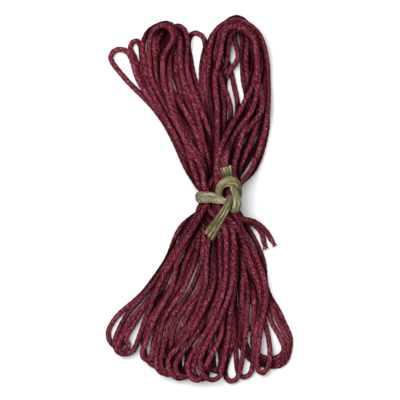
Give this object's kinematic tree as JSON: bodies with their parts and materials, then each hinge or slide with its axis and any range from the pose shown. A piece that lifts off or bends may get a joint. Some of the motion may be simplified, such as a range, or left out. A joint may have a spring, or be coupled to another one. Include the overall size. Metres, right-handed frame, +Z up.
{
  "type": "skein of macrame cord",
  "caption": "Skein of twisted cord lying flat, gathered at the waist by a knotted strip of raffia so that it fans into loops at both ends.",
  "frame": {"origin": "on the surface that the skein lies on, under the middle of the tie", "axes": "+Y along the skein towards its two upper lobes, +X across it towards the side of the knot and the loose ends, +Z up"},
  "size_m": [0.0941, 0.1848, 0.0215],
  "materials": {
    "cord": "matte burgundy three-ply twisted fibre",
    "raffia": "dry olive plant fibre, finely ridged along its length"
  },
  "bodies": {
    "root": {"skein": "cord", "tie": "raffia", "cord_end_a": "cord", "cord_end_b": "cord"}
  },
  "joints": []
}
